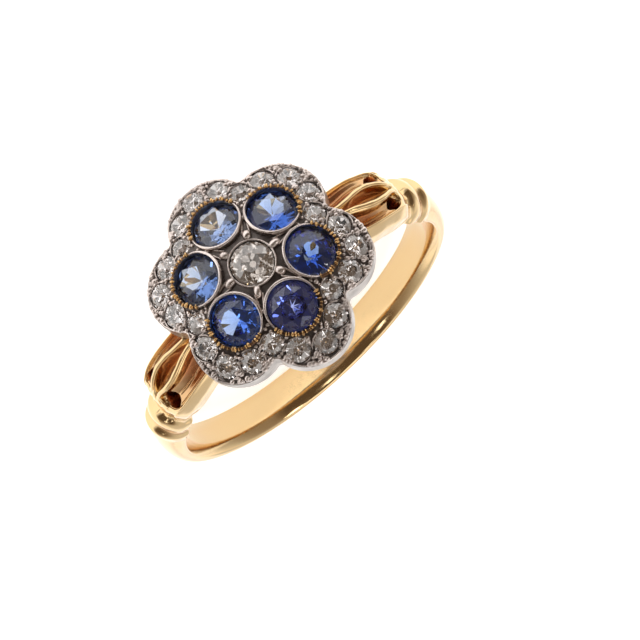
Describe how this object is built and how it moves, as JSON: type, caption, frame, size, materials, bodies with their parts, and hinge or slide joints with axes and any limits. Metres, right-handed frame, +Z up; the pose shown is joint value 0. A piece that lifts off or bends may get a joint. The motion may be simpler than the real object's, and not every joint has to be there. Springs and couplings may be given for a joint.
{
  "type": "cluster ring",
  "caption": "Finger ring with a domed six-lobed cluster of sapphires and diamonds on a gold hoop with ridge collars and carved tulip shoulders, lying on its side.",
  "frame": {"origin": "on the surface the ring lies on, under the middle of its outline", "axes": "+Z up; the head faces -Y and leans up a little; the back of the hoop is at +Y; X runs from shoulder to shoulder"},
  "size_m": [0.0196, 0.0224, 0.0113],
  "materials": {
    "gold": "polished 18 carat yellow gold with soft wear, darker in the carved channels",
    "silver": "worn silver, bright on edges and grains, oxidised dark in the recesses",
    "diamond": "old-cut diamond, faceted and clear",
    "sapphire": "royal blue sapphire, faceted and clear"
  },
  "bodies": {
    "root": {"shank": "gold", "cluster_mount": "silver", "centre_diamond": "diamond", "sapphire_1": "sapphire", "sapphire_2": "sapphire", "sapphire_3": "sapphire", "sapphire_4": "sapphire", "sapphire_5": "sapphire", "sapphire_6": "sapphire", "border_diamond_01": "diamond", "border_diamond_02": "diamond", "border_diamond_03": "diamond", "border_diamond_04": "diamond", "border_diamond_05": "diamond", "border_diamond_06": "diamond", "border_diamond_07": "diamond", "border_diamond_08": "diamond", "border_diamond_09": "diamond", "border_diamond_10": "diamond", "border_diamond_11": "diamond", "border_diamond_12": "diamond", "border_diamond_13": "diamond", "border_diamond_14": "diamond", "border_diamond_15": "diamond", "border_diamond_16": "diamond", "border_diamond_17": "diamond", "border_diamond_18": "diamond", "border_diamond_19": "diamond", "border_diamond_20": "diamond", "border_diamond_21": "diamond", "border_diamond_22": "diamond", "border_diamond_23": "diamond", "border_diamond_24": "diamond"}
  },
  "joints": []
}
